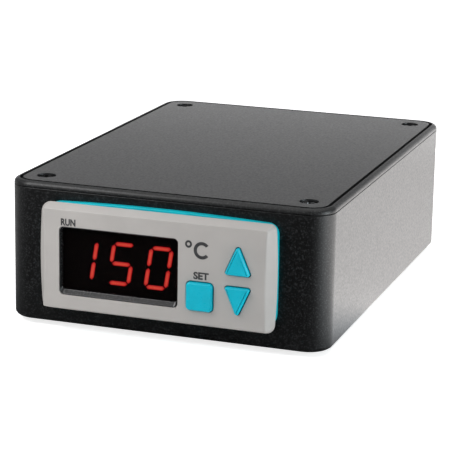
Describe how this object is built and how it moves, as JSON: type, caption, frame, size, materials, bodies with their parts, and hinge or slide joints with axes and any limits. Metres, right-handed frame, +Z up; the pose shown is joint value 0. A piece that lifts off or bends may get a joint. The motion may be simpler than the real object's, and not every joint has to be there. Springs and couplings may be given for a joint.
{
  "type": "reflow oven temperature controller",
  "caption": "Flat black bench case with a grey panel controller in front: lit numeric display, square and arrow buttons, screwed lid, rear mains inlet, switch and sockets.",
  "frame": {"origin": "centre of the bounding box at the bottom, on the surface the feet stand on", "axes": "+Z up, the front with the display faces -Y, +X to the right seen from the front"},
  "size_m": [0.101, 0.1498, 0.0445],
  "materials": {
    "case_black": "fine spark-eroded texture",
    "screw_black": "black oxide",
    "brass": "machined",
    "rubber": "matte",
    "cover_grey": "fine satin",
    "teal_plastic": "satin",
    "window": "polished smoked",
    "module_dark": "matte",
    "lit_red": "lit",
    "button_teal": "satin",
    "switch_grey": "satin",
    "plunger_brown": "satin",
    "board_green": "solder mask",
    "housing_black": "satin",
    "clip_white": "satin",
    "relay_blue": "moulded",
    "transformer_yellow": "tape",
    "capacitor_blue": "sleeve",
    "terminal_green": "moulded",
    "nickel": "nickel plate",
    "inlet_black": "satin moulded",
    "drawer_black": "satin moulded",
    "fuse_glass": "clear",
    "rocker_black": "polished",
    "sensor_yellow": "satin moulded",
    "aluminium": "milled",
    "relay_white": "moulded",
    "wire_brown": "insulation",
    "wire_blue": "insulation",
    "wire_green": "insulation",
    "wire_red": "insulation",
    "wire_black": "insulation"
  },
  "bodies": {
    "case": {"base_shell": "case_black", "lid": "case_black", "lid_screws": "screw_black", "threaded_inserts": "brass", "rubber_feet": "rubber", "front_cover": "cover_grey", "front_frame": "teal_plastic", "panel_gasket": "rubber", "display_window": "window", "display_module": "module_dark", "display_segments": "lit_red", "keypad_switches": "switch_grey", "display_board": "board_green", "controller_housing": "housing_black", "mounting_clips": "clip_white", "controller_board": "board_green", "relay": "relay_blue", "transformer": "transformer_yellow", "capacitors": "capacitor_blue", "terminal_block": "terminal_green", "terminal_screws": "nickel", "controller_back_cover": "housing_black", "mains_inlet": "inlet_black", "inlet_pins": "nickel", "switch_housing": "inlet_black", "switch_tabs": "nickel", "outlet_socket": "inlet_black", "outlet_contacts": "nickel", "sensor_socket": "sensor_yellow", "sensor_contacts": "nickel", "ssr_plate": "aluminium", "ssr_body": "relay_white", "ssr_screws": "nickel", "line_wires": "wire_brown", "neutral_wires": "wire_blue", "earth_wire": "wire_green", "sensor_wires": "wire_red", "control_wires": "wire_black"},
    "set_button": {"set_button": "button_teal", "set_plunger": "plunger_brown"},
    "up_button": {"up_button": "button_teal", "up_plunger": "plunger_brown"},
    "down_button": {"down_button": "button_teal", "down_plunger": "plunger_brown"},
    "fuse_drawer": {"fuse_drawer": "drawer_black", "fuse_tube": "fuse_glass", "fuse_caps": "nickel"},
    "power_rocker": {"switch_rocker": "rocker_black"}
  },
  "joints": [
    {"name": "set_button_press", "type": "slide", "parent": "case", "child": "set_button", "axis": [0, 1, 0], "range_m": [0, 0.0006], "stiffness_N_per_m": 2500, "springref_m": -0.0001},
    {"name": "up_button_press", "type": "slide", "parent": "case", "child": "up_button", "axis": [0, 1, 0], "range_m": [0, 0.0006], "stiffness_N_per_m": 2500, "springref_m": -0.0001},
    {"name": "down_button_press", "type": "slide", "parent": "case", "child": "down_button", "axis": [0, 1, 0], "range_m": [0, 0.0006], "stiffness_N_per_m": 2500, "springref_m": -0.0001},
    {"name": "power_rocker_tilt", "type": "hinge", "parent": "case", "child": "power_rocker", "pos_m": [-0.0299, 0.0692, 0.0291], "axis": [-1, 0, 0], "range_deg": [0, 16]},
    {"name": "fuse_drawer_slide", "type": "slide", "parent": "case", "child": "fuse_drawer", "axis": [0, 1, 0], "range_m": [0, 0.02]}
  ]
}
